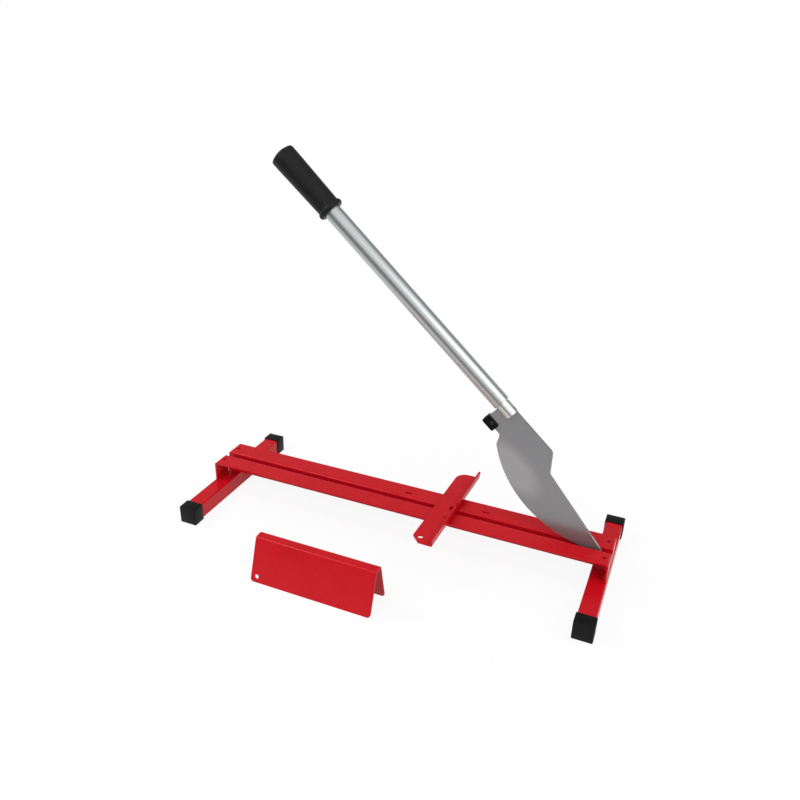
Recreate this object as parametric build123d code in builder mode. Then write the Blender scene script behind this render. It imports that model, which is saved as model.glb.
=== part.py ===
"""Lever guillotine for laminate flooring, with the loose stand that carries the panel.

+X runs along the beam to the pivot end, +Y to the rear, +Z up. The origin is on the bench, in the
middle of the space that the cutter and its stand take up. Lengths in millimetres, angles in degrees.
"""
import os
from math import acos, atan2, cos, degrees, hypot, radians, sin

from build123d import *

os.makedirs("parts", exist_ok=True)

# Beam: two folded rails side by side, with the cutting slot between them
beam_length = 632.5
slot_width = 10.0
rail_width = 30.0
rail_sheet = 3.0
rail_rise = 31.0
rail_web = 25.0
rail_inset = 1.0
rail_bend = 3.5
rail_hole = 6.0
rail_hole_inset = 9.0
index_slot_length = 12.0
index_slot_width = 4.0
index_slot_spread = 62.0
index_slot_edge = 10.5
index_slot_back = 22.0

# Feet: square tubes across the beam's ends, with slip-on caps
foot_tube = 25.0
foot_wall = 2.0
foot_corner = 2.0
foot_front = 127.5
foot_rear = 135.0
cap_wall = 1.6
cap_end = 2.0
cap_length = 20.0

# Pivot: bolt through both rail webs, a bush in the blade, spacers in the slot
pivot_inset = 30.5
pivot_drop = 11.2
bolt_size = 8.0
bolt_head_flats = 13.0
bolt_head_height = 5.3
bolt_lead = 1.0
nut_height = 7.5
washer_size = 15.5
washer_sheet = 1.5
spacer_size = 16.0
bush_size = 14.0
running_fit = 0.05
side_gap = 0.3

# Blade: outline measured from the pivot, along the handle and square to it
rest_angle = 42.3
blade_sheet = 4.0
heel_radius = 16.0
heel_drop = 3.4
belly_along = 107.0
belly_depth = 27.6
edge_reach = 202.0
edge_rise = 3.6
edge_land = 0.6
bevel_width = 20.0
tab_along = 209.8
tab_edge = 17.6
tab_round = 3.0
notch_round = 4.0
blade_end = 240.0
blade_back = 60.0
shoulder_along = 147.2
shoulder_round = 9.0
waist_along = 124.2
waist_back = 34.2

# Handle: socket welded over the blade's tail, tube slipped over the socket, rubber grip
handle_offset = 51.2
socket_size = 19.8
socket_wall = 3.0
socket_start = 222.0
socket_length = 90.0
tube_size = 24.0
tube_wall = 2.0
tube_start = 243.0
tube_length = 440.0
grip_length = 99.5
grip_bead = 36.6
grip_bead_length = 7.5
grip_neck = 31.5
grip_size = 35.0
grip_round = 2.0
grip_crown = 4.5

# Stop bumper on the corner of the blade's tab, held by a screw and nut
bumper_length = 20.6
bumper_height = 13.2
bumper_width = 9.0
bumper_lip = 4.9
bumper_end_lip = 1.0
bumper_round = 2.2
screw_size = 4.0
screw_head = 6.0
screw_head_height = 1.2
screw_nut_flats = 7.0
screw_nut_height = 3.2
screw_along = 229.4
screw_across = 21.5

# Fence: bar across the rails, turned up along its right edge, on a stud in the front rail
fence_distance = 197.5
fence_skew = 1.5
fence_width = 34.0
fence_sheet = 3.0
fence_flange = 11.5
fence_front = 97.0
fence_rear = 99.0
fence_tail = 4.0
fence_bend = 3.5
fence_chamfer = 12.0
fence_corner = 17.0
fence_hole = 8.0
fence_hole_side = 11.0
fence_hole_end = 12.5
stud_back = 9.5
stud_front = 20.0
stud_size = 6.0
stud_head = 11.5
stud_head_height = 1.2
stud_washer = 14.0
stud_nut_flats = 10.0
stud_nut_height = 5.0
blade_slit = 9.0
blade_slit_depth = 12.0

# Panel stand: folded sheet with a flat ridge, standing by itself in front of the beam
stand_length = 184.0
stand_height = 61.5
stand_ridge = 14.0
stand_base = 49.5
stand_front_run = 21.0
stand_sheet = 2.0
stand_bend = 4.0
stand_corner = 5.0
stand_hole = 6.0
stand_hole_side = 9.0
stand_hole_up = 8.6
stand_reach = 202.0
stand_from_left = 173.4

# Cuts run past the faces that they open by this much
overrun = 1.0

# Where the main pieces stand
slot_y = (stand_reach - foot_rear) / 2
beam_end = beam_length / 2
foot_top = cap_wall + foot_tube
rail_top = foot_top + rail_rise
rail_end = beam_end - rail_inset
rail_near = slot_width / 2
rail_far = rail_near + rail_width
web_far = rail_near + rail_sheet
bolt_seat = web_far + washer_sheet
pivot_x = beam_end - pivot_inset
fence_x = pivot_x - fence_distance
stud_x = fence_x - stud_back
stud_y = slot_y - stud_front
fence_floor = rail_top + side_gap
tube_end = tube_start + tube_length
grip_start = tube_end - grip_length

# Local frames: the pivot's own, the swinging arm's, and the handle's along its own middle line
pivot_plane = Plane(
    origin=(pivot_x, slot_y, rail_top - pivot_drop), x_dir=(1, 0, 0), z_dir=(0, 1, 0)
)
arm_plane = Plane(pivot_plane * Rot(Z=180 + rest_angle))
handle_side = Plane(arm_plane * Pos(Y=handle_offset))
handle_plane = Plane(handle_side * Rot(Y=90))


def finish(name, builder):
    """Label a finished piece and write its STEP file."""
    builder.part.label = name
    export_step(builder.part, f"parts/{name}.step")


def make_rail(side):
    """Folded rail: flat top, ends bent down to the feet, web turned down along the slot.

    side is -1 for the front rail and 1 for the rear one.
    """
    middle = slot_y + side * (rail_near + rail_far) / 2
    with BuildPart() as rail:
        with BuildSketch(Plane.XZ.offset(-middle)):
            with Locations((0, rail_top)):
                Rectangle(2 * rail_end, rail_rise, align=(Align.CENTER, Align.MAX))
            with Locations((0, rail_top - rail_sheet)):
                Rectangle(
                    2 * (rail_end - rail_sheet),
                    rail_rise,
                    align=(Align.CENTER, Align.MAX),
                    mode=Mode.SUBTRACT,
                )
        extrude(amount=rail_width / 2, both=True)
        with Locations((0, slot_y + side * (rail_near + web_far) / 2, rail_top - rail_web / 2)):
            Box(2 * rail_end - rail_sheet, rail_sheet, rail_web)
        end_bends = rail.edges().filter_by(Axis.Y).group_by(Axis.Z)[-1]
        slot_bend = rail.edges().filter_by(Axis.X).group_by(Axis.Z)[-1].sort_by(
            lambda edge: abs(edge.center().Y - slot_y)
        )[0]
        fillet(end_bends + [slot_bend], radius=rail_bend)
        with Locations(Plane.XY.offset(rail_top)):
            with Locations(
                (-beam_end + rail_hole_inset, middle), (beam_end - rail_hole_inset, middle)
            ):
                Hole(rail_hole / 2, depth=rail_sheet + overrun)
        with BuildSketch(pivot_plane):
            Circle(bolt_size / 2)
        extrude(amount=side * (web_far + overrun), mode=Mode.SUBTRACT)
        if side < 0:
            with Locations((stud_x, stud_y, rail_top)):
                Hole(stud_size / 2, depth=rail_sheet + overrun)
        else:
            index_x = fence_x - index_slot_back
            index_y = slot_y + rail_near + index_slot_edge
            with BuildSketch(Plane.XY.offset(rail_top)):
                with Locations(
                    (index_x - index_slot_spread, index_y), (index_x + index_slot_spread, index_y)
                ):
                    SlotOverall(index_slot_length, index_slot_width)
            extrude(amount=-rail_sheet - overrun, mode=Mode.SUBTRACT)
    return rail


def make_foot(side):
    """Square tube across the beam, its outer side flush with the beam's end."""
    middle = side * (beam_end - foot_tube / 2)
    with BuildPart() as foot:
        with BuildSketch(Plane.XZ.offset(foot_front - cap_end - slot_y)):
            with Locations((middle, cap_wall + foot_tube / 2)):
                RectangleRounded(foot_tube, foot_tube, foot_corner)
                RectangleRounded(
                    foot_tube - 2 * foot_wall,
                    foot_tube - 2 * foot_wall,
                    foot_corner / 2,
                    mode=Mode.SUBTRACT,
                )
        extrude(amount=2 * cap_end - foot_front - foot_rear)
    return foot


def make_cap(side, end):
    """Moulded cap over a foot's end: side picks the foot, end is -1 at the front, 1 at the rear."""
    middle = side * (beam_end - foot_tube / 2)
    face = slot_y + (foot_rear if end > 0 else -foot_front)
    outer = foot_tube + 2 * cap_wall
    with BuildPart() as cap:
        with BuildSketch(Plane.XZ.offset(-face)):
            with Locations((middle, outer / 2)):
                RectangleRounded(outer, outer, foot_corner + cap_wall)
        extrude(amount=end * cap_length)
        outer_face = cap.faces().sort_by(Axis.Y)[-1 if end > 0 else 0]
        fillet(outer_face.edges(), radius=cap_wall / 2)
        with BuildSketch(Plane.XZ.offset(end * cap_end - face)):
            with Locations((middle, outer / 2)):
                RectangleRounded(foot_tube, foot_tube, foot_corner)
        extrude(amount=end * cap_length, mode=Mode.SUBTRACT)
    return cap


# Rails
finish("front_rail", make_rail(-1))
finish("rear_rail", make_rail(1))

# Feet and their caps
for foot_name, foot_side in (("left", -1), ("right", 1)):
    finish(f"{foot_name}_foot", make_foot(foot_side))
    for cap_name, cap_side in (("front", -1), ("rear", 1)):
        finish(f"{foot_name}_{cap_name}_cap", make_cap(foot_side, cap_side))

# Pivot bolt with its head under the front rail, self-locking nut under the rear one
with BuildPart() as pivot_bolt:
    with BuildSketch(pivot_plane.offset(-bolt_seat)):
        RegularPolygon(bolt_head_flats / 2, 6, major_radius=False)
    extrude(amount=-bolt_head_height)
    with BuildSketch(pivot_plane.offset(-bolt_seat)):
        Circle(bolt_size / 2)
    extrude(amount=2 * bolt_seat + nut_height + bolt_lead)
    chamfer(pivot_bolt.faces().sort_by(Axis.Y)[-1].edges(), length=bolt_lead / 2)
finish("pivot_bolt", pivot_bolt)

with BuildPart() as pivot_nut:
    with BuildSketch(pivot_plane.offset(bolt_seat)):
        RegularPolygon(bolt_head_flats / 2, 6, major_radius=False)
        Circle(bolt_size / 2, mode=Mode.SUBTRACT)
    extrude(amount=nut_height)
finish("pivot_nut", pivot_nut)

with BuildPart() as pivot_washers:
    for washer_side in (-1, 1):
        with BuildSketch(pivot_plane.offset(washer_side * web_far)):
            Circle(washer_size / 2)
            Circle(bolt_size / 2, mode=Mode.SUBTRACT)
        extrude(amount=washer_side * washer_sheet)
finish("pivot_washers", pivot_washers)

# Spacers take up the slot on both sides of the blade, less the side gap
with BuildPart() as pivot_spacers:
    for spacer_side in (-1, 1):
        with BuildSketch(pivot_plane.offset(spacer_side * rail_near)):
            Circle(spacer_size / 2)
            Circle(bolt_size / 2, mode=Mode.SUBTRACT)
        extrude(amount=-spacer_side * (rail_near - blade_sheet / 2 - side_gap))
finish("pivot_spacers", pivot_spacers)

# Blade, with its curved edge ground from the rear
blade_edge = ThreePointArc(
    (heel_radius, -heel_drop), (belly_along, -belly_depth), (edge_reach, edge_rise)
)
edge_middle = blade_edge.arc_center
edge_radius = blade_edge.radius
heel_turn = atan2(-heel_drop - edge_middle.Y, heel_radius - edge_middle.X)
tip_turn = atan2(tab_edge - edge_middle.Y, tab_along - edge_middle.X)
bevel_plane = Plane(arm_plane * Pos(edge_middle) * Rot(Z=degrees(heel_turn)) * Rot(X=90))
back_turn = atan2(waist_back, waist_along) + acos(heel_radius / hypot(waist_along, waist_back))
heel_back = (heel_radius * cos(back_turn), heel_radius * sin(back_turn))
with BuildPart() as blade:
    with BuildSketch(arm_plane):
        with BuildLine():
            add(blade_edge)
            FilletPolyline(
                (edge_reach, edge_rise),
                (tab_along, tab_edge),
                (blade_end, tab_edge),
                (blade_end, blade_back),
                (shoulder_along, blade_back),
                (waist_along, waist_back),
                heel_back,
                radius=[notch_round, tab_round, tab_round, shoulder_round, shoulder_round],
            )
            Polyline(heel_back, (0, 0), (heel_radius, -heel_drop))
        make_face()
        Circle(heel_radius)
    extrude(amount=blade_sheet / 2, both=True)
    with BuildSketch(bevel_plane):
        Polygon(
            (edge_radius - bevel_width, blade_sheet / 2),
            (edge_radius, edge_land - blade_sheet / 2),
            (edge_radius + overrun, edge_land - blade_sheet / 2),
            (edge_radius + overrun, blade_sheet / 2 + overrun),
            (edge_radius - bevel_width, blade_sheet / 2 + overrun),
            align=None,
        )
    revolve(
        axis=Axis(bevel_plane.origin, bevel_plane.y_dir),
        revolution_arc=degrees(tip_turn - heel_turn),
        mode=Mode.SUBTRACT,
    )
    with BuildSketch(arm_plane):
        Circle(bush_size / 2)
        with Locations((screw_along, screw_across)):
            Circle(screw_size / 2)
    extrude(amount=blade_sheet, both=True, mode=Mode.SUBTRACT)
finish("blade", blade)

with BuildPart() as pivot_bush:
    with BuildSketch(arm_plane):
        Circle(bush_size / 2)
        Circle(bolt_size / 2 + running_fit, mode=Mode.SUBTRACT)
    extrude(amount=blade_sheet / 2, both=True)
finish("pivot_bush", pivot_bush)

# Handle: the slit socket straddles the blade's tail, the tube slips over the socket
with BuildPart() as handle_socket:
    with BuildSketch(handle_plane.offset(socket_start)):
        Circle(socket_size / 2)
        Circle(socket_size / 2 - socket_wall, mode=Mode.SUBTRACT)
    extrude(amount=socket_length)
    with BuildSketch(handle_plane.offset(socket_start)):
        Rectangle(blade_sheet, socket_size + overrun)
    extrude(amount=blade_end - socket_start, mode=Mode.SUBTRACT)
finish("handle_socket", handle_socket)

with BuildPart() as handle_tube:
    with BuildSketch(handle_plane.offset(tube_start)):
        Circle(tube_size / 2)
        Circle(tube_size / 2 - tube_wall, mode=Mode.SUBTRACT)
    extrude(amount=tube_length)
    outer_rims = handle_tube.edges().filter_by(GeomType.CIRCLE).group_by(SortBy.RADIUS)[-1]
    chamfer(outer_rims, length=tube_wall / 4)
finish("handle_tube", handle_tube)

# Grip: turned profile with a bead at the mouth, widening to a domed end, bored to the tube's end
neck_start = grip_start + grip_bead_length
crown_radius = (grip_crown**2 + (grip_size / 2) ** 2) / (2 * grip_crown)
with BuildPart() as handle_grip:
    with BuildSketch(handle_side) as grip_profile:
        with BuildLine():
            Polyline((neck_start, 0), (grip_start, 0), (grip_start, grip_bead / 2 - grip_round))
            ThreePointArc(
                (grip_start, grip_bead / 2 - grip_round),
                (grip_start + grip_bead_length / 2 - grip_round / 4, grip_bead / 2),
                (neck_start, grip_neck / 2),
            )
            Line((neck_start, grip_neck / 2), (tube_end, grip_size / 2))
            RadiusArc((tube_end, grip_size / 2), (tube_end + grip_crown, 0), crown_radius)
            Line((tube_end + grip_crown, 0), (neck_start, 0))
        make_face()
        fillet(grip_profile.vertices().sort_by(Axis.X)[-2], radius=grip_round)
    revolve(axis=Axis(handle_side.origin, handle_side.x_dir))
    with BuildSketch(handle_plane):
        Circle(tube_size / 2)
    extrude(amount=tube_end, mode=Mode.SUBTRACT)
finish("handle_grip", handle_grip)

# Stop bumper, moulded with a pocket for the tab's corner
bumper_floor = tab_edge - bumper_lip
with BuildPart() as stop_bumper:
    with BuildSketch(arm_plane):
        with Locations((blade_end + bumper_end_lip, bumper_floor)):
            Rectangle(bumper_length, bumper_height, align=(Align.MAX, Align.MIN))
    extrude(amount=bumper_width / 2, both=True)
    fillet(stop_bumper.edges().filter_by(Axis.Y), radius=bumper_round)
    with BuildSketch(arm_plane):
        with Locations((blade_end, tab_edge)):
            Rectangle(bumper_length, bumper_height, align=(Align.MAX, Align.MIN))
    extrude(amount=blade_sheet / 2, both=True, mode=Mode.SUBTRACT)
    with BuildSketch(arm_plane):
        with Locations((screw_along, screw_across)):
            Circle(screw_size / 2)
    extrude(amount=bumper_width, both=True, mode=Mode.SUBTRACT)
finish("stop_bumper", stop_bumper)

with BuildPart() as bumper_screw:
    with BuildSketch(arm_plane.offset(-bumper_width / 2)):
        with Locations((screw_along, screw_across)):
            Circle(screw_head / 2)
    extrude(amount=-screw_head_height)
    fillet(bumper_screw.faces().sort_by(Axis.Y)[0].edges(), radius=screw_head_height / 2)
    with BuildSketch(arm_plane.offset(-bumper_width / 2)):
        with Locations((screw_along, screw_across)):
            Circle(screw_size / 2)
    extrude(amount=bumper_width + screw_nut_height)
finish("bumper_screw", bumper_screw)

with BuildPart() as bumper_nut:
    with BuildSketch(arm_plane.offset(bumper_width / 2)):
        with Locations((screw_along, screw_across)):
            RegularPolygon(screw_nut_flats / 2, 6, major_radius=False)
            Circle(screw_size / 2, mode=Mode.SUBTRACT)
    extrude(amount=screw_nut_height)
finish("bumper_nut", bumper_nut)

# Fence: angle with one flat leg on the rails and one turned up, slit to let the blade through
with BuildPart() as fence:
    with BuildSketch(Plane.XZ.offset(fence_front - slot_y)):
        with Locations((fence_x, fence_floor)):
            Rectangle(fence_width, fence_flange, align=(Align.MAX, Align.MIN))
        with Locations((fence_x - fence_sheet, fence_floor + fence_sheet)):
            Rectangle(
                fence_width, fence_flange, align=(Align.MAX, Align.MIN), mode=Mode.SUBTRACT
            )
    extrude(amount=-fence_front - fence_rear)
    bend = fence.edges().filter_by(Axis.Y).group_by(Axis.Z)[0].sort_by(Axis.X)[-1]
    fillet(bend, radius=fence_bend)
    front_left = fence.edges().filter_by(Axis.Z).group_by(Axis.X)[0].sort_by(Axis.Y)[0]
    chamfer(front_left, length=fence_chamfer)
    rear_left = fence.edges().filter_by(Axis.Z).group_by(Axis.X)[0].sort_by(Axis.Y)[-1]
    fillet(rear_left, radius=fence_corner)
    with BuildSketch(Plane.YZ.offset(fence_x)):
        with BuildLine():
            Polyline(
                (slot_y + fence_rear, fence_floor + fence_sheet),
                (slot_y + fence_rear, fence_floor + fence_flange),
                (slot_y + fence_rear + fence_tail, fence_floor + fence_flange),
                close=True,
            )
        make_face()
    extrude(amount=-fence_sheet)
    with Locations((fence_x - blade_slit_depth, slot_y, fence_floor - overrun)):
        Box(
            blade_slit_depth + overrun,
            blade_slit,
            fence_flange + 2 * overrun,
            align=(Align.MIN, Align.CENTER, Align.MIN),
            mode=Mode.SUBTRACT,
        )
    hole_x = fence_x - fence_width + fence_hole_side
    hole_y = slot_y - fence_front + fence_hole_end
    with Locations((hole_x, hole_y, fence_floor + fence_sheet)):
        Hole(fence_hole / 2, depth=fence_sheet + overrun)
    with Locations((stud_x, stud_y, fence_floor + fence_sheet)):
        Hole(stud_size / 2 + running_fit, depth=fence_sheet + overrun)
fence.part = fence.part.rotate(Axis((stud_x, stud_y, 0), (0, 0, 1)), -fence_skew)
finish("fence", fence)

# Stud that the fence swivels on, tightened against a washer and nut under the front rail
stud_seat = fence_floor + fence_sheet + side_gap
nut_seat = rail_top - rail_sheet - washer_sheet
with BuildPart() as fence_stud:
    with Locations((stud_x, stud_y, stud_seat)):
        Cylinder(stud_head / 2, stud_head_height, align=(Align.CENTER, Align.CENTER, Align.MIN))
    fillet(fence_stud.faces().sort_by(Axis.Z)[-1].edges(), radius=stud_head_height / 2)
    with Locations((stud_x, stud_y, stud_seat)):
        Cylinder(
            stud_size / 2,
            stud_seat - nut_seat + stud_nut_height + bolt_lead,
            align=(Align.CENTER, Align.CENTER, Align.MAX),
        )
finish("fence_stud", fence_stud)

with BuildPart() as stud_washer_ring:
    with BuildSketch(Plane.XY.offset(nut_seat)):
        with Locations((stud_x, stud_y)):
            Circle(stud_washer / 2)
            Circle(stud_size / 2, mode=Mode.SUBTRACT)
    extrude(amount=washer_sheet)
finish("stud_washer", stud_washer_ring)

with BuildPart() as stud_nut:
    with BuildSketch(Plane.XY.offset(nut_seat)):
        with Locations((stud_x, stud_y)):
            RegularPolygon(stud_nut_flats / 2, 6, major_radius=False)
            Circle(stud_size / 2, mode=Mode.SUBTRACT)
    extrude(amount=-stud_nut_height)
finish("stud_nut", stud_nut)

# Panel stand: one sheet folded along both edges of its ridge
stand_left = -beam_end + stand_from_left
stand_front = slot_y - stand_reach
ridge_front = stand_front + stand_front_run
ridge_rear = ridge_front + stand_ridge
stand_rear = stand_front + stand_base
spread_share = stand_sheet / stand_height
front_foot = (stand_front - stand_front_run * spread_share, -stand_sheet)
rear_foot = (stand_rear + (stand_rear - ridge_rear) * spread_share, -stand_sheet)
leg_plane = Plane(
    origin=(stand_left, stand_front, 0), x_dir=(1, 0, 0), z_dir=(0, -stand_height, stand_front_run)
)
with BuildPart() as support_stand:
    with BuildSketch(Plane.YZ.offset(stand_left)):
        with BuildLine():
            FilletPolyline(
                front_foot,
                (ridge_front, stand_height),
                (ridge_rear, stand_height),
                rear_foot,
                radius=stand_bend,
            )
            Line(rear_foot, front_foot)
        make_face()
        offset(amount=-stand_sheet, mode=Mode.SUBTRACT)
        Rectangle(
            2 * (stand_reach + stand_base),
            stand_height,
            align=(Align.CENTER, Align.MAX),
            mode=Mode.SUBTRACT,
        )
    extrude(amount=stand_length)
    lower_corners = support_stand.edges().group_by(Axis.Z)[0].filter_by(Axis.Y)
    fillet(lower_corners, radius=stand_corner)
    with Locations(leg_plane):
        with Locations((stand_hole_side, stand_hole_up)):
            Hole(stand_hole / 2, depth=2 * stand_sheet)
finish("support_stand", support_stand)
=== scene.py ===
from math import cos, pi, radians, sin, sqrt, tan

import bmesh
import bpy
from mathutils import Matrix, Vector


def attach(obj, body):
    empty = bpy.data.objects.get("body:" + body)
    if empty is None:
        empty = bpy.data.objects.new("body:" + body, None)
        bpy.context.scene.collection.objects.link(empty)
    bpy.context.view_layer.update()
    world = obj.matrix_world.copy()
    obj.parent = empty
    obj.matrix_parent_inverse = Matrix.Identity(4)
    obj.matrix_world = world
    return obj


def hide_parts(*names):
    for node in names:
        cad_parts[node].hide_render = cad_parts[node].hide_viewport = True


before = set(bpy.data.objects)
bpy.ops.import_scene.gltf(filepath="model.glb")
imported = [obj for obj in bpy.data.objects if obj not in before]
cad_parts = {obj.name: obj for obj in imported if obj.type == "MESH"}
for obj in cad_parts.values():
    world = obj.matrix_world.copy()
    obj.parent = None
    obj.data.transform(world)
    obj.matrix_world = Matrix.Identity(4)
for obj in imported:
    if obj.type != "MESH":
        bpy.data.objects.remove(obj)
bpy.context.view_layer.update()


# Feet
# Two lengths of 25 mm square steel tube that lie across the ends of the beam. They are
# welded to the rails and powder coated bright red together with them.

mm = 0.001
foot_tube = 25.0
coat_red = (0.515, 0.0035, 0.0105)
coat_deep_red = (0.475, 0.0028, 0.0085)


def add_node(material, kind, inputs=None, **settings):
    """Add a node to a material or the world, each input a constant or the socket that feeds it."""
    tree = material.node_tree
    node = tree.nodes.new("ShaderNode" + kind)
    for name, value in settings.items():
        setattr(node, name, value)
    for name, value in (inputs or {}).items():
        if isinstance(value, bpy.types.NodeSocket):
            tree.links.new(value, node.inputs[name])
        else:
            node.inputs[name].default_value = value
    return node


def feed(material, **sockets):
    """Link sockets to the shader's inputs, named with underscores for spaces."""
    shader = material.node_tree.nodes["Principled BSDF"]
    for name, socket in sockets.items():
        material.node_tree.links.new(socket, shader.inputs[name.replace("_", " ")])


def new_material(name, **constants):
    """A Principled material with these constants on its shader's own sockets."""
    material = bpy.data.materials.new(name)
    material.use_nodes = True
    shader = material.node_tree.nodes["Principled BSDF"]
    for socket, value in constants.items():
        shader.inputs[socket.replace("_", " ")].default_value = value
    return material


def object_place(material):
    """Object coordinates, in metres."""
    return add_node(material, "TexCoord").outputs["Object"]


def ramp(material, factor, first, last, start=0.3, end=0.7):
    """Blend from one colour to another as the factor goes from start to end."""
    node = add_node(material, "ValToRGB", {"Fac": factor})
    for element, place, colour in zip(node.color_ramp.elements, (start, end), (first, last)):
        element.position = place
        element.color = (*colour, 1.0)
    return node.outputs["Color"]


def spread(material, factor, first, last, start=0.3, end=0.7, **settings):
    """A number that runs from first to last as the factor goes from start to end."""
    inputs = {"Value": factor, "From Min": start, "From Max": end, "To Min": first, "To Max": last}
    return add_node(material, "MapRange", inputs, **settings).outputs["Result"]


def noise(material, place, grains, detail=2.0):
    """The grey value of a noise of that many grains to the metre."""
    inputs = {"Vector": place, "Scale": grains, "Detail": detail}
    return add_node(material, "TexNoise", inputs).outputs["Fac"]


def bump(material, height, depth, strength=1.0):
    """Relief from a grey value, depth millimetres deep."""
    inputs = {"Height": height, "Distance": depth * mm, "Strength": strength}
    return add_node(material, "Bump", inputs).outputs["Normal"]


def dress(nodes, material):
    """Give CAD pieces that are shown as they are their finish."""
    for node in nodes:
        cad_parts[node].data.materials.clear()
        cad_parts[node].data.materials.append(material)


red_coat = new_material("red_powder_coat", IOR=1.3, Specular_IOR_Level=0.45)
red_place = object_place(red_coat)
red_cloud = noise(red_coat, red_place, grains=26, detail=3)
red_peel = noise(red_coat, red_place, grains=560)
feed(
    red_coat,
    Base_Color=ramp(red_coat, red_cloud, coat_deep_red, coat_red, start=0.25, end=0.6),
    Roughness=spread(red_coat, red_cloud, 0.25, 0.31),
    Normal=bump(red_coat, red_peel, depth=0.02, strength=0.3),
)
dress(["left_foot", "right_foot"], red_coat)


# Foot caps
# Four black polyethylene caps pushed over the ends of the square tubes. Each is moulded
# with soft edges, a fine grain and a thin lip at its mouth, and the cutter stands on them.

beam_end = 316.25
slot_y = 33.5
cap_wall = 1.6
cap_size = foot_tube + 2 * cap_wall
cap_length = 20.0
cap_end = 2.0
cap_round = 1.5
cap_mouth_share = 0.3
foot_front = 127.5
foot_rear = 135.0

# From this many degrees an edge is sharp: bevels round it, and smooth shading stops at it
sharp_angle = 35


def leave_none_selected():
    """Go to object mode, with nothing selected."""
    if bpy.context.mode != "OBJECT":
        bpy.ops.object.mode_set(mode="OBJECT")
    bpy.ops.object.select_all(action="DESELECT")


def take(piece):
    """Select this piece alone and make it the active one."""
    leave_none_selected()
    piece.select_set(True)
    bpy.context.view_layer.objects.active = piece


def edit(piece):
    """Open a piece in edit mode with nothing selected on it."""
    take(piece)
    bpy.ops.object.mode_set(mode="EDIT")
    bpy.ops.mesh.select_all(action="DESELECT")


def pick_faces(piece, test):
    """Select the faces whose middle and normal pass the test, in edit mode."""
    shell = bmesh.from_edit_mesh(piece.data)
    for face in shell.faces:
        face.select_set(test(face.calc_center_median(), face.normal))
    bmesh.update_edit_mesh(piece.data)


def place_and_apply(piece, matrix=None):
    """Apply the piece's modifiers, then put its place into its mesh."""
    take(piece)
    for modifier in list(piece.modifiers):
        bpy.ops.object.modifier_apply(modifier=modifier.name)
    if matrix is not None:
        piece.matrix_world = matrix
    bpy.ops.object.transform_apply(location=True, rotation=True, scale=True)


def smooth(piece, angle=sharp_angle):
    """Shade smooth, apart from the edges that are sharper than the angle."""
    take(piece)
    bpy.ops.object.shade_smooth_by_angle(angle=radians(angle))


def round_edges(piece, width, segments):
    """A bevel over every sharp edge, width in millimetres."""
    bevel = piece.modifiers.new("rounded_edges", "BEVEL")
    bevel.width = width * mm
    bevel.segments = segments
    bevel.limit_method = "ANGLE"
    bevel.angle_limit = radians(sharp_angle)


def hand_over(piece, body, material, replaces=()):
    """Give a finished piece its material, and say what it rides on and stands for."""
    piece.data.materials.clear()
    piece.data.materials.append(material)
    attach(piece, body)
    if replaces:
        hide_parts(*replaces)


def copied(piece, name, matrix):
    """A copy with its own mesh, turned and moved by the matrix."""
    copy = bpy.data.objects.new(name, piece.data.copy())
    bpy.context.scene.collection.objects.link(copy)
    place_and_apply(copy, matrix)
    return copy


cap_plastic = new_material(
    "black_cap_plastic", Base_Color=(0.0045, 0.0045, 0.005, 1), IOR=1.35, Specular_IOR_Level=0.22
)
cap_place = object_place(cap_plastic)
cap_cloud = noise(cap_plastic, cap_place, grains=60)
cap_grain = noise(cap_plastic, cap_place, grains=1900, detail=3)
feed(
    cap_plastic,
    Roughness=spread(cap_plastic, cap_cloud, 0.36, 0.5),
    Normal=bump(cap_plastic, cap_grain, depth=0.05, strength=0.6),
)

# The first cap stands on the origin, with its closed end towards -Y
leave_none_selected()
bpy.ops.mesh.primitive_cube_add(size=1, location=(0, cap_length / 2 * mm, cap_size / 2 * mm))
cap = bpy.context.object
cap.scale = (cap_size * mm, cap_length * mm, cap_size * mm)
place_and_apply(cap)
edit(cap)
pick_faces(cap, lambda middle, normal: normal.y > 0.9)
bpy.ops.mesh.inset(thickness=cap_wall * mm)
bpy.ops.mesh.extrude_region_move(
    TRANSFORM_OT_translate={"value": (0, (cap_end - cap_length) * mm, 0)}
)
bpy.ops.object.mode_set(mode="OBJECT")

# Only the edges on its outside are rounded, and those at the mouth less. An edge lies there
# if both of its ends are this near.
near = 0.1
round_edges(cap, cap_round, segments=4)
cap.modifiers["rounded_edges"].limit_method = "WEIGHT"
cap_weights = cap.data.attributes.new("bevel_weight_edge", "FLOAT", "EDGE")
for edge in cap.data.edges:
    ends = [cap.data.vertices[corner].co for corner in edge.vertices]
    outside = all(
        max(abs(end.x), abs(end.z - cap_size / 2 * mm)) > (cap_size / 2 - near) * mm
        for end in ends
    )
    at_mouth = all(end.y > (cap_length - near) * mm for end in ends)
    cap_weights.data[edge.index].value = outside * (cap_mouth_share if at_mouth else 1.0)
place_and_apply(cap)
smooth(cap)

for foot_name, side in (("left", -1), ("right", 1)):
    for end_name, end in (("front", -1), ("rear", 1)):
        face_y = slot_y + (foot_rear if end > 0 else -foot_front)
        middle_x = side * (beam_end - foot_tube / 2)
        turn = Matrix.Rotation(pi if end > 0 else 0, 4, "Z")
        place = Matrix.Translation((middle_x * mm, face_y * mm, 0)) @ turn
        foot_cap = copied(cap, f"{foot_name}_{end_name}_foot_cap", place)
        node = f"{foot_name}_{end_name}_cap"
        hand_over(foot_cap, "frame", cap_plastic, [node])
bpy.data.objects.remove(cap)


# Rails
# Two rails folded from 3 mm sheet, side by side with the cutting slot between them. Their
# ends are bent down on to the feet, and the edges are softened by the thick red coat.

rail_rise = 31.0
rail_inset = 1.0
rail_near = 5.0
rail_width = 30.0
rail_sheet = 3.0
foot_top = cap_wall + foot_tube
rail_top = foot_top + rail_rise
rail_end = beam_end - rail_inset
coat_round = 0.5


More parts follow.
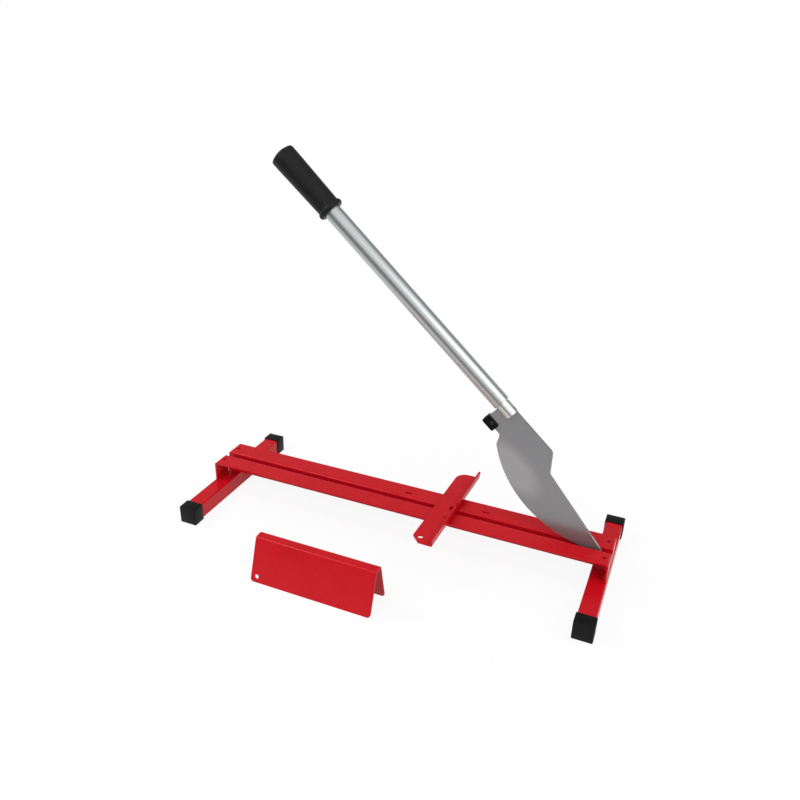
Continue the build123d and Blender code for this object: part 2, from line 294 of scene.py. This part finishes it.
def softened(node, name, width):
    """The CAD piece again, with its triangles merged to flats and its sharp edges rounded."""
    piece = bpy.data.objects.new(name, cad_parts[node].data.copy())
    bpy.context.scene.collection.objects.link(piece)
    edit(piece)
    bpy.ops.mesh.select_all(action="SELECT")
    bpy.ops.mesh.customdata_custom_splitnormals_clear()
    bpy.ops.mesh.remove_doubles(threshold=0.002 * mm)
    bpy.ops.mesh.mark_sharp(clear=True)
    bpy.ops.mesh.dissolve_limited(angle_limit=radians(0.6))
    bpy.ops.object.mode_set(mode="OBJECT")
    round_edges(piece, width, segments=2)
    place_and_apply(piece)
    smooth(piece)

    # The flats stay level in the shading, so that only the rounded edges bend the light
    piece.modifiers.new("level_faces", "WEIGHTED_NORMAL").keep_sharp = True
    place_and_apply(piece)
    return piece


for side_name in ("front", "rear"):
    rail = softened(f"{side_name}_rail", f"{side_name}_rail_folded", coat_round)
    hand_over(rail, "frame", red_coat, [f"{side_name}_rail"])


# Rail welds
# Each bent-down rail end is welded to its foot along the inner side, where the board never
# touches. The beads are laid in overlapping scales, and the red coat covers them.

weld_inset = 3.0
weld_length = rail_width - 2 * weld_inset
scale_flatness = 0.75
voxels_to_radius = 7


def weld_bead(name, length, radius, step):
    """A bead of overlapping scales along X, from the origin, grown into one skin."""
    leave_none_selected()
    bpy.ops.mesh.primitive_uv_sphere_add(segments=20, ring_count=12, radius=radius * mm)
    bead = bpy.context.object
    bead.name = name
    bead.scale = (scale_flatness, 1, 1)
    place_and_apply(bead)
    edit(bead)
    bpy.ops.mesh.select_all(action="SELECT")
    bpy.ops.transform.translate(value=(radius * scale_flatness * mm, 0, 0))
    bpy.ops.object.mode_set(mode="OBJECT")
    scales = bead.modifiers.new("scales", "ARRAY")
    scales.use_relative_offset = False
    scales.use_constant_offset = True
    scales.constant_offset_displace = (step * mm, 0, 0)
    scales.count = int((length - 2 * radius * scale_flatness) / step) + 1
    skin = bead.modifiers.new("skin", "REMESH")
    skin.mode = "VOXEL"
    skin.voxel_size = radius / voxels_to_radius * mm
    place_and_apply(bead)
    smooth(bead, angle=80)
    return bead


bead = weld_bead("rail_weld", weld_length, radius=1.9, step=1.3)
for side_name, side in (("front", -1), ("rear", 1)):
    for end_name, end in (("left", -1), ("right", 1)):
        start_y = slot_y + side * (rail_near + rail_width / 2) - weld_length / 2
        corner = (end * (rail_end - rail_sheet), start_y, foot_top)
        place = Matrix.Translation(Vector(corner) * mm) @ Matrix.Rotation(pi / 2, 4, "Z")
        weld = copied(bead, f"{side_name}_rail_{end_name}_weld", place)
        hand_over(weld, "frame", red_coat)
bpy.data.objects.remove(bead)


# Pivot
# An M8 bolt through both rail webs carries the blade, with bright zinc plated washers and a
# self-locking nut outside the webs. Black spacers keep the blade in the middle of the slot,
# and it turns on a bronze bush.

pivot_inset = 30.5
pivot_drop = 11.2
bolt_radius = 4.0
bolt_root = 3.45
bolt_pitch = 1.25
bolt_head_flats = 13.0
bolt_head_height = 5.3
bolt_plain = 2.0
bolt_lead = 1.0
washer_sheet = 1.5
nut_height = 7.5
nut_collar = 2.2
collar_share = 0.93
chamfer_share = 0.96
insert_inner, insert_outer = 3.9, 4.9
insert_low, insert_high = 5.6, 7.35
pivot = Vector((beam_end - pivot_inset, slot_y, rail_top - pivot_drop))
bolt_seat = rail_near + rail_sheet + washer_sheet
bolt_tip = bolt_seat + nut_height + bolt_lead

# Joined pieces reach this far into each other, and drills start this far below the piece
overrun = 1.0


def turned(name, stations, segments=48):
    """A turned piece on the Z axis, from (height, radius) stations in millimetres.

    The end stations are closed with a flat face, or joined where the last is the first again.
    """
    leave_none_selected()
    height, radius = stations[0]
    bpy.ops.mesh.primitive_circle_add(
        vertices=segments, radius=radius * mm, location=(0, 0, height * mm)
    )
    piece = bpy.context.object
    piece.name = name
    place_and_apply(piece)
    joined = stations[0] == stations[-1]
    edit(piece)
    bpy.ops.mesh.select_all(action="SELECT")
    if not joined:
        bpy.ops.mesh.edge_face_add()
    for (low, was), (high, now) in zip(stations, stations[1:]):
        bpy.ops.mesh.extrude_region_move(
            TRANSFORM_OT_translate={"value": (0, 0, (high - low) * mm)}
        )
        bpy.ops.transform.resize(
            value=(now / was, now / was, 1), center_override=(0, 0, high * mm)
        )
    bpy.ops.mesh.select_all(action="SELECT")
    bpy.ops.mesh.remove_doubles(threshold=0.001 * mm)
    bpy.ops.mesh.normals_make_consistent(inside=False)
    bpy.ops.object.mode_set(mode="OBJECT")
    return piece


def cut(piece, tool, operation):
    """Cut the piece with another one, which is used up."""
    boolean = piece.modifiers.new("cut", "BOOLEAN")
    boolean.operation = operation
    boolean.object = tool
    boolean.solver = "EXACT"
    place_and_apply(piece)
    bpy.data.objects.remove(tool)


def bore(piece, drill_end, radius, segments=48):
    """Drill up through a piece that stands on the origin, to a height past its top."""
    drill = turned("bore", [(-overrun, radius), (drill_end, radius)], segments)
    cut(piece, drill, "DIFFERENCE")


def hexagon(name, flats, height, chamfered_low=False):
    """A hexagonal blank on the Z axis from 0 up, its corners turned to the usual 30 degrees."""
    corner = flats / sqrt(3)
    face_radius = flats / 2 * chamfer_share
    fall = (corner - face_radius) * tan(radians(30))
    lower = [(0, face_radius), (fall, corner)] if chamfered_low else [(0, corner)]
    stations = [*lower, (height - fall, corner), (height, face_radius)]
    blank = turned(name, stations, segments=72)
    leave_none_selected()
    bpy.ops.mesh.primitive_cylinder_add(
        vertices=6, radius=corner * mm, depth=3 * height * mm, location=(0, 0, 0)
    )
    cut(blank, bpy.context.object, "INTERSECT")
    return blank


def thread(start, stop, pitch, crest, root, root_share=0.5):
    """Stations of a thread: a root and a crest for each turn that starts before the stop."""
    turns = []
    while start < stop:
        turns += [(start + root_share * pitch, root), (start + pitch, crest)]
        start += pitch
    return turns


def tapered(top, radius, profile):
    """Stations up to the top, from pairs: how far below it, and how far drawn in."""
    return [(top - drop, radius - draw) for drop, draw in profile]


zinc = new_material("bright_zinc_plate", Metallic=1.0)
zinc_place = object_place(zinc)
zinc_cloud = noise(zinc, zinc_place, grains=240, detail=3)
feed(
    zinc,
    Base_Color=ramp(zinc, zinc_cloud, (0.52, 0.52, 0.5), (0.68, 0.68, 0.67)),
    Roughness=spread(zinc, zinc_cloud, 0.2, 0.36),
    Normal=bump(zinc, noise(zinc, zinc_place, grains=1500), depth=0.01),
)
bronze = new_material("sintered_bronze", Metallic=1.0)
bronze_pores = noise(bronze, object_place(bronze), grains=2600, detail=4)
feed(
    bronze,
    Base_Color=ramp(bronze, bronze_pores, (0.30, 0.19, 0.09), (0.62, 0.43, 0.22)),
    Roughness=spread(bronze, bronze_pores, 0.55, 0.35),
    Normal=bump(bronze, bronze_pores, depth=0.03),
)
black_oxide = new_material("black_oxide_steel", Metallic=1.0)
oxide_cloud = noise(black_oxide, object_place(black_oxide), grains=700, detail=3)
feed(
    black_oxide,
    Base_Color=ramp(black_oxide, oxide_cloud, (0.03, 0.03, 0.031), (0.06, 0.06, 0.061)),
    Roughness=spread(black_oxide, oxide_cloud, 0.22, 0.34),
)
nylon = new_material("nylon_insert", Base_Color=(0.35, 0.5, 0.68, 1), Roughness=0.4)
feed(nylon, Normal=bump(nylon, noise(nylon, object_place(nylon), grains=900), depth=0.03))

# Local Z of these pieces points to the rear, along the pivot
rearward = Matrix.Translation(pivot * mm) @ Matrix.Rotation(-pi / 2, 4, "X")
at_nut = rearward @ Matrix.Translation((0, 0, bolt_seat * mm))

# The thread starts inside the nut, and its last crest makes way for the tip's chamfer
bolt = hexagon("pivot_bolt_turned", bolt_head_flats, bolt_head_height)
place_and_apply(bolt, Matrix.Translation((0, 0, -bolt_seat * mm)) @ Matrix.Rotation(pi, 4, "X"))
plain_end = bolt_seat + bolt_plain
last_start = bolt_tip - bolt_pitch
bolt_thread = thread(plain_end, last_start, bolt_pitch, bolt_radius, bolt_root, root_share=0.45)
bolt_shank = [
    (-bolt_seat - overrun, bolt_radius),
    (plain_end, bolt_radius),
    *bolt_thread[:-1],
    *tapered(bolt_tip, bolt_radius, [(0.5, 0.3), (0.0, 0.7)]),
]
cut(bolt, turned("shank", bolt_shank, segments=40), "UNION")
place_and_apply(bolt, rearward)
smooth(bolt, angle=30)
hand_over(bolt, "frame", zinc, ["pivot_bolt"])

nut_flats_height = nut_height - nut_collar
nut = hexagon("pivot_nut_turned", bolt_head_flats, nut_flats_height, chamfered_low=True)
collar_radius = bolt_head_flats / 2 * collar_share
collar = [
    (nut_flats_height - overrun, collar_radius),
    *tapered(nut_height, collar_radius, [(0.8, 0.0), (0.2, 0.5), (0.0, 1.2)]),
]
cut(nut, turned("collar", collar), "UNION")
bore(nut, nut_height + overrun, bolt_radius)
place_and_apply(nut, at_nut)
smooth(nut, angle=30)
hand_over(nut, "frame", zinc, ["pivot_nut"])

insert = [
    (insert_low, insert_inner),
    (insert_low, insert_outer),
    (insert_high, insert_outer),
    (insert_high, insert_inner),
    (insert_low, insert_inner),
]
insert_ring = turned("pivot_nut_insert", insert)
place_and_apply(insert_ring, at_nut)
smooth(insert_ring)
hand_over(insert_ring, "frame", nylon)

dress(["pivot_washers"], zinc)
dress(["pivot_spacers"], black_oxide)
dress(["pivot_bush"], bronze)


# Blade
# Cut from 4 mm steel plate and ground satin. The long curved edge is ground to a flat bevel
# from the rear, with its marks square to the edge; the paler oval there is a painted reflection.

rest_angle = radians(42.3)
blade_sheet = 4.0
bevel_width = 20.0
bevel_blur = 0.6

# In the arm's X and Y: three points of the long edge's arc, and the oval of painted reflection
edge_points = [Vector((16.0, -3.4)), Vector((107.0, -27.6)), Vector((202.0, 3.6))]
reflection_middle = Vector((164.0, -4.0))
reflection_reach = Vector((53.0, 25.0))

# Grains to the metre, and the two colours that each finish wavers between
long_grains = (12, 700, 700)
cross_grains = (700, 26, 26)
plain_tones = ((0.240, 0.237, 0.243), (0.252, 0.249, 0.255))
# The paler tones of the painted reflection on the flat side
painted_reflection_tones = ((0.330, 0.325, 0.332), (0.344, 0.339, 0.346))
bevel_tones = ((0.34, 0.34, 0.345), (0.42, 0.42, 0.425))
# The cut edge's darker tones are painted shade
cut_edge_shade_tones = ((0.19, 0.18, 0.18), (0.24, 0.23, 0.23))

# The arm's own axes: X along the handle, Y square to it in the blade's plane, Z to the rear
arm = Matrix(
    (
        (-cos(rest_angle), sin(rest_angle), 0, pivot.x * mm),
        (0, 0, 1, pivot.y * mm),
        (sin(rest_angle), cos(rest_angle), 0, pivot.z * mm),
        (0, 0, 0, 1),
    )
)


def arm_place(material, grains=(1, 1, 1)):
    """Object coordinates turned into the arm's axes and multiplied by the grains to the metre."""
    turn = arm.inverted().to_euler()
    shift = arm.inverted().to_translation()
    inputs = {"Vector": object_place(material), "Rotation": turn, "Location": shift}
    along = add_node(material, "Mapping", inputs).outputs["Vector"]
    return add_node(material, "Mapping", {"Vector": along, "Scale": grains}).outputs["Vector"]


def arm_noise(material, grains, detail=2.0):
    """A noise with these grains to the metre along the arm's own axes."""
    return noise(material, arm_place(material, grains), 1, detail)


def computed(material, operation, *inputs):
    """The result of a Math node."""
    return add_node(material, "Math", dict(enumerate(inputs)), operation=operation).outputs[0]


def in_space(material, operation, *inputs):
    """The result of a Vector Math node, which is a number for lengths and products."""
    node = add_node(material, "VectorMath", dict(enumerate(inputs)), operation=operation)
    return node.outputs["Vector" if operation in ("SUBTRACT", "DIVIDE") else "Value"]


def mixed_numbers(material, factor, first, last):
    """Blend two numbers, the Mix node's inputs 2 and 3, as the factor goes from 0 to 1."""
    inputs = {"Factor": factor, 2: first, 3: last}
    return add_node(material, "Mix", inputs, data_type="FLOAT").outputs[0]


def mixed_colours(material, factor, first, last):
    """Blend two colours, the Mix node's inputs 6 and 7, as the factor goes from 0 to 1."""
    inputs = {"Factor": factor, 6: first, 7: last}
    return add_node(material, "Mix", inputs, data_type="RGBA").outputs[2]


def circle_through(a, b, c):
    """Middle and radius of the circle through three points."""
    divisor = 2 * (a.x * (b.y - c.y) + b.x * (c.y - a.y) + c.x * (a.y - b.y))
    far_a, far_b, far_c = (point.length_squared for point in (a, b, c))
    x = (far_a * (b.y - c.y) + far_b * (c.y - a.y) + far_c * (a.y - b.y)) / divisor
    y = (far_a * (c.x - b.x) + far_b * (a.x - c.x) + far_c * (b.x - a.x)) / divisor
    middle = Vector((x, y))
    return middle, (a - middle).length


ground = new_material("ground_blade_steel", Metallic=0.6, Specular_IOR_Level=0.3)
ground_place = arm_place(ground)
plate_z = add_node(ground, "SeparateXYZ", {"Vector": ground_place}).outputs["Z"]

# The bevel lies beyond a circle inside the edge's own, and not on the front face
edge_middle, edge_radius = circle_through(*edge_points)
bevel_start = (edge_radius - bevel_width - bevel_blur) * mm
bevel_full = (edge_radius - bevel_width + bevel_blur) * mm
edge_centre = (edge_middle.x * mm, edge_middle.y * mm, blade_sheet / 2 * mm)
from_centre = in_space(ground, "DISTANCE", ground_place, edge_centre)
past_line = spread(ground, from_centre, 0, 1, start=bevel_start, end=bevel_full)
off_front = spread(ground, plate_z, 0, 1, start=-1.5 * mm, end=-1.1 * mm)
on_bevel = computed(ground, "MULTIPLY", past_line, off_front)

# The painted reflection fades out over an oval
reflection_centre = (reflection_middle.x * mm, reflection_middle.y * mm, 0)
reflection_size = (reflection_reach.x * mm, reflection_reach.y * mm, 1)
from_middle = in_space(ground, "SUBTRACT", ground_place, reflection_centre)
in_reaches = in_space(ground, "DIVIDE", from_middle, reflection_size)
from_painted_reflection = in_space(ground, "LENGTH", in_reaches)
painted_reflection = spread(
    ground, from_painted_reflection, 0, 1, start=1.3, end=0.55, interpolation_type="SMOOTHSTEP"
)

# The marks of the grinding wheel run along the plate, and across it on the bevel
long_marks = arm_noise(ground, long_grains)
cross_marks = arm_noise(ground, cross_grains)
marks = mixed_numbers(ground, on_bevel, long_marks, cross_marks)
flat_tone = mixed_colours(
    ground, painted_reflection, ramp(ground, marks, *plain_tones), ramp(ground, marks, *painted_reflection_tones)
)
ground_tone = mixed_colours(ground, on_bevel, flat_tone, ramp(ground, marks, *bevel_tones))

# The plate's cut edge is painted a little darker, apart from the bevel: painted shade for the
# darker things it reflects
off_middle = computed(ground, "ABSOLUTE", plate_z)
in_cut = spread(ground, off_middle, 1, 0, start=1.6 * mm, end=1.9 * mm)
off_bevel = spread(ground, past_line, 1, 0, start=0, end=1)
cut_edge_shade_share = computed(ground, "MULTIPLY", in_cut, off_bevel)
cut_edge_shade = ramp(ground, cross_marks, *cut_edge_shade_tones)
feed(
    ground,
    Base_Color=mixed_colours(ground, cut_edge_shade_share, ground_tone, cut_edge_shade),
    Roughness=spread(ground, marks, 0.285, 0.295),
    Normal=bump(ground, marks, depth=0.002, strength=0.2),
)
blade = softened("blade", "blade_ground", width=0.25)
hand_over(blade, "lever", ground, ["blade"])


# Handle socket
# A short steel tube, slit to straddle the blade's tail and welded to it along the slit.
# It is zinc plated after welding, which leaves it paler than the handle tube.

handle_offset = 51.2
socket_size = 19.8
socket_start = 222.0
blade_end = 240.0
seam_inset = 0.5
slit_edge = sqrt((socket_size / 2) ** 2 - (blade_sheet / 2) ** 2)

socket_zinc = new_material("pale_zinc_plate", Metallic=0.9)
socket_cloud = arm_noise(socket_zinc, (60, 500, 500), detail=3)
feed(
    socket_zinc,
    Base_Color=ramp(socket_zinc, socket_cloud, (0.56, 0.60, 0.575), (0.68, 0.72, 0.69)),
    Roughness=spread(socket_zinc, socket_cloud, 0.16, 0.26),
    Normal=bump(socket_zinc, socket_cloud, depth=0.006, strength=0.4),
)
dress(["handle_socket"], socket_zinc)

seam_length = blade_end - socket_start - 2 * seam_inset
seam = weld_bead("socket_weld", seam_length, radius=1.0, step=0.8)
for side_name, side in (("front", -1), ("rear", 1)):
    corner = (socket_start + seam_inset, handle_offset - slit_edge, side * blade_sheet / 2)
    place = arm @ Matrix.Translation(Vector(corner) * mm)
    weld = copied(seam, f"socket_{side_name}_lower_weld", place)
    hand_over(weld, "lever", socket_zinc)
bpy.data.objects.remove(seam)


# Handle tube
# 24 mm steel tube, 2 mm thick, slipped over the socket. It is drawn and bright plated, with
# fine lines along it that stretch its reflections.

tube_start = 243.0
tube_length = 440.0
tube_radius = 12.0
tube_end = tube_start + tube_length

tube_zinc = new_material("bright_drawn_tube", Metallic=1.0)
tube_lines = arm_noise(tube_zinc, (5, 480, 480))
feed(
    tube_zinc,
    Base_Color=ramp(tube_zinc, tube_lines, (0.45, 0.465, 0.465), (0.51, 0.525, 0.525)),
    Roughness=spread(tube_zinc, tube_lines, 0.29, 0.34),
    Normal=bump(tube_zinc, tube_lines, depth=0.001, strength=0.15),
)
dress(["handle_tube"], tube_zinc)


# Grip
# Smooth black rubber, moulded in one piece and pushed over the tube's end. It has a bead
# round its mouth, widens a little towards the hand's heel, and ends in a low dome.

grip_length = 99.5
grip_start = tube_end - grip_length
running_fit = 0.05
grip_mouth = 1.3
grip_bead = 36.6
grip_bead_length = 7.5
grip_bead_round = 2.4
grip_fillet = 1.2
grip_neck = 31.5
grip_swell = 0.12
grip_size = 35.0
grip_heel = 4.5
grip_round = 2.6
grip_crown = 4.5
crown_foot = 0.4
crown_radius = grip_size / 2 - grip_round

grip_rubber = new_material(
    "black_grip_rubber", Base_Color=(0.0065, 0.0065, 0.0065, 1), Specular_IOR_Level=0.2
)
grip_place = object_place(grip_rubber)
grip_cloud = noise(grip_rubber, grip_place, grains=55, detail=3)
grip_grain = noise(grip_rubber, grip_place, grains=1300, detail=3)
feed(
    grip_rubber,
    Roughness=spread(grip_rubber, grip_cloud, 0.42, 0.56),
    Normal=bump(grip_rubber, grip_grain, depth=0.04, strength=0.7),
)

# From inside the mouth over the bead
bead_middle = grip_start + grip_bead_length / 2
bead_steps = 8
grip_stations = [
    (grip_start + grip_fillet, tube_radius + running_fit),
    (grip_start, tube_radius + grip_mouth),
]
for step in range(-bead_steps, bead_steps + 1):
    bend = step * pi / (2 * bead_steps + 1)
    height = bead_middle + grip_bead_length / 2 * sin(bend)
    grip_stations.append((height, grip_bead / 2 - grip_bead_round * (1 - cos(bend))))

# The body from the neck to the heel, the rounding at its end, and the dome
neck_end = grip_start + grip_bead_length + grip_fillet
neck_radius = grip_neck / 2 + grip_swell
body_length = grip_length - grip_bead_length - grip_heel
body_steps = 12
round_steps = 6
crown_steps = 8
for step in range(body_steps):
    share = step / body_steps
    radius = neck_radius + share * (grip_size - grip_neck) / 2
    grip_stations.append((neck_end + share * body_length, radius))
for step in range(round_steps + 1):
    bend = step * pi / 2 / round_steps
    height = tube_end + crown_foot - grip_round * (1 - sin(bend))
    grip_stations.append((height, grip_size / 2 - grip_round * (1 - cos(bend))))
for step in range(1, crown_steps):
    share = 1 - step / crown_steps
    height = tube_end + crown_foot + (grip_crown - crown_foot) * (1 - share**2)
    grip_stations.append((height, crown_radius * share))
grip = turned("grip_moulded", grip_stations, segments=72)
along_arm = Matrix.Rotation(pi / 2, 4, "Y")
place_and_apply(grip, arm @ Matrix.Translation((0, handle_offset * mm, 0)) @ along_arm)
smooth(grip, angle=50)
hand_over(grip, "lever", grip_rubber, ["handle_grip"])


# Stop bumper
# A block of black rubber, moulded with a pocket for the corner of the blade's tab. A screw
# through the tab holds it, with its nut at the rear, and it lands on the fence.

screw_along = 229.4
screw_across = 21.5
screw_radius = 2.0
screw_nut_flats = 7.0
screw_nut_height = 3.2
screw_drill_end = 5.0
bumper_width = 9.0
bumper_rear = bumper_width / 2
screw_tip = bumper_rear + screw_nut_height
screw_dome = [(0.0, 3.0), (0.3, 2.97), (0.7, 2.6), (1.0, 1.9), (1.16, 1.1), (1.2, 0.4)]
screw_head_height = 1.2
head_overrun = 0.2
recess_size = (2.8, 0.6, 1.1)
recess_turn = 0.5

bumper_rubber = new_material(
    "black_bumper_rubber", Base_Color=(0.003, 0.003, 0.0035, 1), IOR=1.35, Specular_IOR_Level=0.18
)
bumper_place = object_place(bumper_rubber)
bumper_cloud = noise(bumper_rubber, bumper_place, grains=140, detail=3)
bumper_grain = noise(bumper_rubber, bumper_place, grains=1500, detail=3)
feed(
    bumper_rubber,
    Roughness=spread(bumper_rubber, bumper_cloud, 0.45, 0.62),
    Normal=bump(bumper_rubber, bumper_grain, depth=0.05),
)
bumper = softened("stop_bumper", "stop_bumper_moulded", width=0.5)
hand_over(bumper, "lever", bumper_rubber, ["stop_bumper"])

screw_axis = arm @ Matrix.Translation((screw_along * mm, screw_across * mm, 0))
dome = [(-bumper_rear - height, radius) for height, radius in screw_dome]
screw = turned("bumper_screw_turned", dome, segments=40)
for slot_turn in (recess_turn, recess_turn + pi / 2):
    leave_none_selected()
    bpy.ops.mesh.primitive_cube_add(
        size=1,
        location=(0, 0, (-bumper_rear - screw_head_height) * mm),
        scale=[side * mm for side in recess_size],
    )
    recess = bpy.context.object
    place_and_apply(recess)
    place_and_apply(recess, Matrix.Rotation(slot_turn, 4, "Z"))
    cut(screw, recess, "DIFFERENCE")
screw_shank = [
    (-bumper_rear - head_overrun, screw_radius),
    *tapered(screw_tip, screw_radius, [(0.5, 0.0), (0.0, 0.4)]),
]
cut(screw, turned("shank", screw_shank, segments=32), "UNION")
place_and_apply(screw, screw_axis)
smooth(screw, angle=30)
hand_over(screw, "lever", black_oxide, ["bumper_screw"])

small_nut = hexagon("bumper_nut_turned", screw_nut_flats, screw_nut_height)
bore(small_nut, screw_drill_end, screw_radius, segments=32)
place_and_apply(small_nut, screw_axis @ Matrix.Translation((0, 0, bumper_rear * mm)))
smooth(small_nut, angle=30)
hand_over(small_nut, "lever", zinc, ["bumper_nut"])


# Fence
# A strip of 3 mm sheet with its right edge turned up, where the board lies against it. It
# has a slit for the blade and a hole to hang it by, and it is coated red like the rails.

fence = softened("fence", "fence_folded", coat_round)
hand_over(fence, "fence", red_coat, ["fence"])


# Fence stud
# The fence swivels on a low-headed stud in the front rail, which is tightened from below
# against a washer and a nut. The head is coated over with the fence.

fence_distance = 197.5
fence_sheet = 3.0
side_gap = 0.3
stud_back = 9.5
stud_front = 20.0
stud_radius = 3.0
stud_root = 2.55
stud_pitch = 1.0
stud_chamfer = 0.6
stud_head_radius = 5.75
stud_head_height = 1.2
stud_nut_flats = 10.0
stud_nut_height = 5.0
stud_x = pivot.x - fence_distance - stud_back
stud_y = slot_y - stud_front
stud_seat = rail_top + side_gap + fence_sheet + side_gap
nut_seat = rail_top - rail_sheet - washer_sheet
stud_tip = nut_seat - stud_nut_height - bolt_lead
thread_start = stud_tip + stud_chamfer
stud_top = stud_seat + stud_head_height
stud_place = Matrix.Translation((stud_x * mm, stud_y * mm, 0))

stud_stations = [
    (stud_tip, stud_radius - stud_chamfer),
    (thread_start, stud_radius),
    *thread(thread_start, nut_seat - stud_pitch, stud_pitch, stud_radius, stud_root),
    (stud_seat, stud_radius),
    *tapered(stud_top, stud_head_radius, [(1.19, 0.0), (0.6, 0.0), (0.2, 0.35), (0.0, 1.05)]),
]
stud = turned("fence_stud_turned", stud_stations, segments=40)
place_and_apply(stud, stud_place)
smooth(stud, angle=30)
hand_over(stud, "frame", red_coat, ["fence_stud"])

stud_nut = hexagon("stud_nut_turned", stud_nut_flats, stud_nut_height, chamfered_low=True)
bore(stud_nut, stud_nut_height + overrun, stud_radius, segments=32)
nut_place = Matrix.Translation((0, 0, (nut_seat - stud_nut_height) * mm))
place_and_apply(stud_nut, stud_place @ nut_place)
smooth(stud_nut, angle=30)
hand_over(stud_nut, "frame", zinc, ["stud_nut"])
dress(["stud_washer"], zinc)


# Panel stand
# A loose stand folded from one sheet along both edges of its ridge, which carries the free
# side of the board at the height of the rails. It is coated in the same red.

stand = softened("support_stand", "panel_stand_folded", coat_round)
hand_over(stand, "stand", red_coat, ["support_stand"])


# Bench and backdrop
# A pale bench top far wider than the cutter, and a white surround. Both look white to the
# lens and in the metal's reflections, and the bench keeps a soft shadow.

bench_front = -0.62
bench_reach = 6.0
shadow_reach = 0.3
white_reach = 0.6

leave_none_selected()
bpy.ops.mesh.primitive_grid_add(x_subdivisions=12, y_subdivisions=12, size=2 * bench_reach)
bench = bpy.context.object
bench.name = "bench"
bench.location.y = bench_front + bench_reach
place_and_apply(bench)
bench_white = new_material("pale_bench", Base_Color=(0.86, 0.86, 0.86, 1), Roughness=0.9)
rays = add_node(bench_white, "LightPath").outputs
seen = computed(bench_white, "MAXIMUM", rays["Is Camera Ray"], rays["Is Glossy Ray"])
seen = computed(bench_white, "MAXIMUM", seen, rays["Is Transmission Ray"])
outward = in_space(bench_white, "LENGTH", object_place(bench_white))
whiteness = spread(bench_white, outward, 0.9, 1.0, start=shadow_reach, end=white_reach)
white_share = computed(bench_white, "MULTIPLY", seen, whiteness)
glow = add_node(bench_white, "Emission", {"Color": (1, 1, 1, 1), "Strength": 1.0})
plain = bench_white.node_tree.nodes["Principled BSDF"]
blend = {0: white_share, 1: plain.outputs["BSDF"], 2: glow.outputs["Emission"]}
surface = add_node(bench_white, "MixShader", blend).outputs["Shader"]
output = bench_white.node_tree.nodes["Material Output"]
bench_white.node_tree.links.new(surface, output.inputs["Surface"])
bench.data.materials.append(bench_white)

# The surround: a large soft light high at the right front, a white wall behind and at the
# sides, and a dimmer room in front of the bench. To the lens it is white all round.
light_from = Vector((0.35, -0.5, 0.79)).normalized()
light_level = 1.15
room_level = 0.42
front_level = 0.3

world = bpy.data.worlds.new("studio")
bpy.context.scene.world = world
world.use_nodes = True
background = world.node_tree.nodes["Background"]
background.inputs["Strength"].default_value = 1.0
direction = add_node(world, "TexCoord").outputs["Generated"]
compass = add_node(world, "SeparateXYZ", {"Vector": direction}).outputs
behind = spread(world, compass["Y"], 0, 1, start=-0.55, end=-0.1)
wall = spread(world, behind, front_level, 1.0, start=0, end=1)
low_down = spread(world, compass["Z"], 1, 0, start=0.12, end=0.34)
level = mixed_numbers(world, low_down, room_level, wall)
towards_light = in_space(world, "DOT_PRODUCT", direction, light_from)
lit = spread(world, towards_light, 0, 1, start=0.55, end=0.72)
level = mixed_numbers(world, lit, level, light_level)
to_lens = add_node(world, "LightPath").outputs["Is Camera Ray"]
level = mixed_numbers(world, to_lens, level, 1.0)
world.node_tree.links.new(level, background.inputs["Color"])


# Studio lamps
# One small soft box high on the left casts the shadow beside the fence, another at the left
# front draws the highlights along the bends, and a wide one on the right brightens the lower
# end of the handle. The white surround does the rest.


def soft_box(name, place, aim, size, watts):
    """A rectangular area lamp at a place, turned to face another."""
    lamp = bpy.data.lights.new(name, "AREA")
    lamp.shape = "RECTANGLE"
    lamp.size, lamp.size_y = size
    lamp.energy = watts
    holder = bpy.data.objects.new(name, lamp)
    bpy.context.scene.collection.objects.link(holder)
    holder.location = place
    facing = Vector(aim) - Vector(place)
    holder.rotation_euler = facing.to_track_quat("-Z", "Y").to_euler()


soft_box("left_box", (-1.2, -0.25, 1.25), aim=(0, 0, 0.1), size=(0.24, 0.24), watts=6.0)
soft_box("front_box", (-0.85, -1.15, 1.35), aim=(0, -0.1, 0.1), size=(0.26, 0.26), watts=5.0)
soft_box("right_box", (0.76, -0.3, 0.88), aim=(0.1, 0.03, 0.25), size=(0.9, 0.5), watts=2.0)


# Camera
# A 34 mm lens on a 36 mm sensor, a little over a metre in front of the cutter, to the right
# of it and above it, and tilted slightly.

eye = Vector((363.8, -865.9, 695.3)) * mm
aim = Vector((-7.4, 33.5, 220.5)) * mm
tilt = radians(1.483)
sensor = 36.0
picture_width = 800
focal_pixels = 758.4
forward = (aim - eye).normalized()
level_right = forward.cross(Vector((0, 0, 1))).normalized()
level_up = level_right.cross(forward)
right = cos(tilt) * level_right + sin(tilt) * level_up
up = cos(tilt) * level_up - sin(tilt) * level_right

lens = bpy.data.cameras.new("camera")
lens.sensor_width = sensor
lens.lens = focal_pixels / picture_width * sensor
lens.clip_start, lens.clip_end = 0.05, 50
camera = bpy.data.objects.new("camera", lens)
bpy.context.scene.collection.objects.link(camera)
facing = Matrix((right, up, -forward)).transposed().to_4x4()
camera.matrix_world = Matrix.Translation(eye) @ facing
bpy.context.scene.camera = camera
bpy.context.scene.view_settings.view_transform = "Standard"
